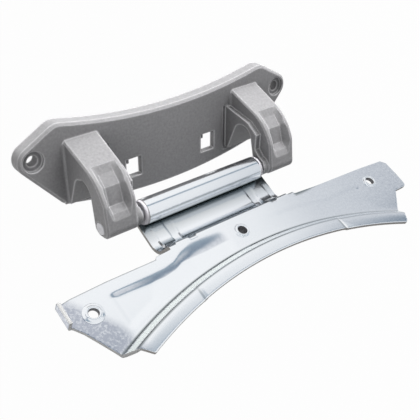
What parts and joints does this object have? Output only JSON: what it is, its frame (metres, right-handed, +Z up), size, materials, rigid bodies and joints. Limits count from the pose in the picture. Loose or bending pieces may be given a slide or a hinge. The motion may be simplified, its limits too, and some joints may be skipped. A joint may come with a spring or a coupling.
{
  "type": "washing machine door hinge",
  "caption": "Cast hinge bracket with swan-neck arms on a pin, carrying a pressed crescent door plate with a rolled knuckle.",
  "frame": {"origin": "midway between the two screw holes of the bracket, on its rear face", "axes": "+Z up along the hinge pin as the door hangs, +Y into the cabinet along the screws, +X towards the door opening"},
  "size_m": [0.0609, 0.0934, 0.1945],
  "materials": {
    "casting": "as cast, matt",
    "pin_steel": "drawn, satin",
    "plate_steel": "bright zinc plated",
    "bush_plastic": "matt"
  },
  "bodies": {
    "bracket": {"bracket_casting": "casting", "hinge_pin": "pin_steel"},
    "door_side": {"door_plate": "plate_steel", "bush_lower": "bush_plastic", "bush_upper": "bush_plastic"}
  },
  "joints": [
    {"name": "door_swing", "type": "hinge", "parent": "bracket", "child": "door_side", "pos_m": [-0.0267, -0.0307, 0], "axis": [0, 0, 1], "range_deg": [-45, 115]}
  ]
}
